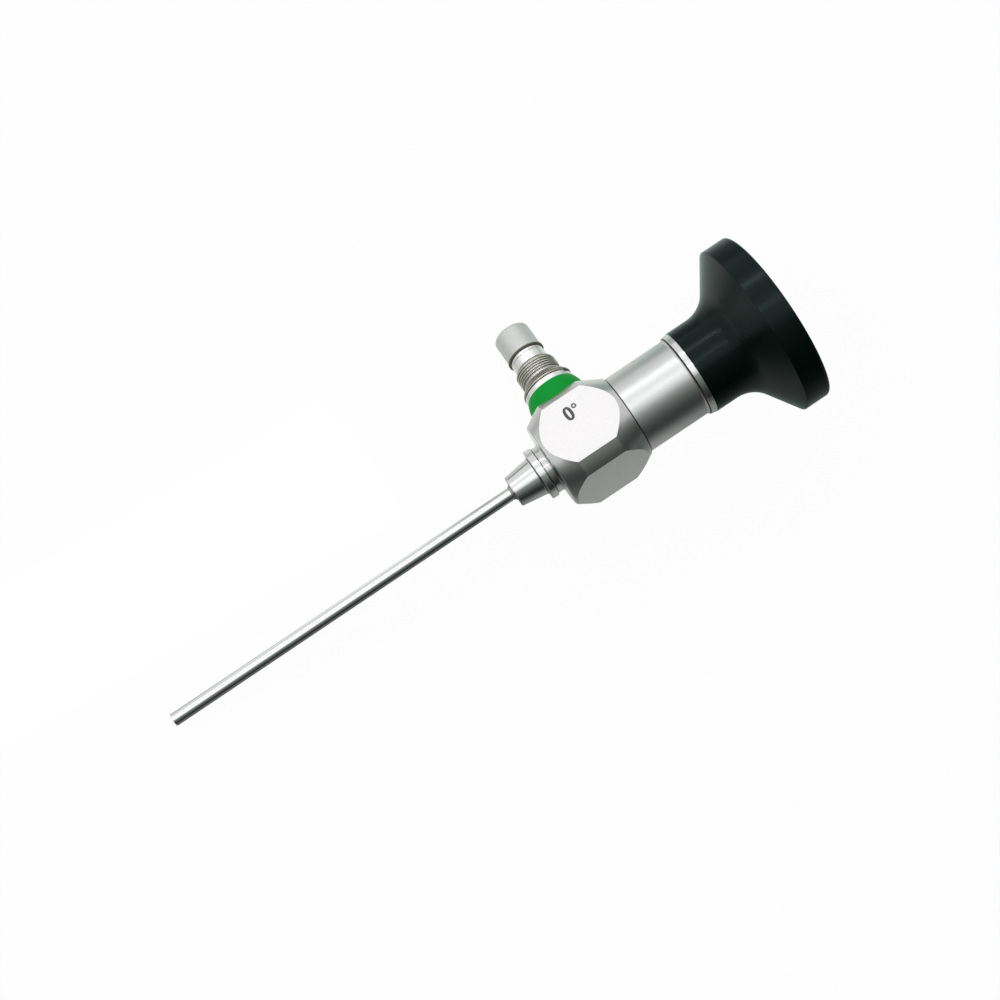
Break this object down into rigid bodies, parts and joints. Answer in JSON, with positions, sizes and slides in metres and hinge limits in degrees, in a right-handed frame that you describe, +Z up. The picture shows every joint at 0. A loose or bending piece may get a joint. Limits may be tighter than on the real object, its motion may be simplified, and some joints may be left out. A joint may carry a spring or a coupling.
{
  "type": "rigid endoscope",
  "caption": "Straight rod-lens endoscope: slim steel shaft, flatted body with a side light post, steel barrel and flared black eyecup.",
  "frame": {"origin": "centre of the bounding box's bottom face, on the table that the instrument lies on", "axes": "+X from the distal tip to the eyecup, along the table; +Z up. The instrument rests on its tip, the eyecup's rim and the end of its light post, so the optical axis rises by about 7 degrees towards +X and the light post points to +Y and down by about 20 degrees."},
  "size_m": [0.1242, 0.0412, 0.0323],
  "materials": {
    "polished_steel": "drawn and polished tube",
    "turned_steel": "fine turned",
    "blasted_steel": "bead blasted flats on a turned block",
    "dark_steel": "dark passivated thread",
    "cap_steel": "fine satin",
    "cell_aluminium": "black anodised",
    "black_plastic": "satin",
    "green_plastic": "satin",
    "seal_rubber": "matte",
    "optical_glass": "polished and coated",
    "fibre_glass": "bundle of drawn fibres, polished ends",
    "solder": "silver solder"
  },
  "bodies": {
    "root": {"barrel": "turned_steel", "body_block": "blasted_steel", "body_seal": "seal_rubber", "colour_ring": "green_plastic", "coupling_cone": "turned_steel", "distal_window": "optical_glass", "end_cap": "cap_steel", "end_fitting": "polished_steel", "end_seal": "seal_rubber", "eyecup": "black_plastic", "eyecup_seal": "seal_rubber", "eyepiece_window": "optical_glass", "fibre_bundle": "fibre_glass", "fibre_ferrule": "polished_steel", "field_stop": "cell_aluminium", "front_lens": "optical_glass", "inner_tube": "polished_steel", "light_window": "optical_glass", "lock_ring": "turned_steel", "objective_doublet": "optical_glass", "objective_lens": "optical_glass", "objective_ring": "cell_aluminium", "objective_spacer": "cell_aluminium", "ocular_lens": "optical_glass", "ocular_mount": "cell_aluminium", "ocular_retainer": "cell_aluminium", "ocular_sleeve": "cell_aluminium", "outer_tube": "polished_steel", "post_base": "polished_steel", "rod_lens_1": "optical_glass", "rod_lens_2": "optical_glass", "rod_lens_3": "optical_glass", "solder_fillet": "solder", "spacer_tube_1": "cell_aluminium", "spacer_tube_2": "cell_aluminium", "spacer_tube_3": "cell_aluminium", "spacer_tube_4": "cell_aluminium", "threaded_adapter": "dark_steel", "window_gasket": "seal_rubber", "window_ring": "cell_aluminium"}
  },
  "joints": []
}
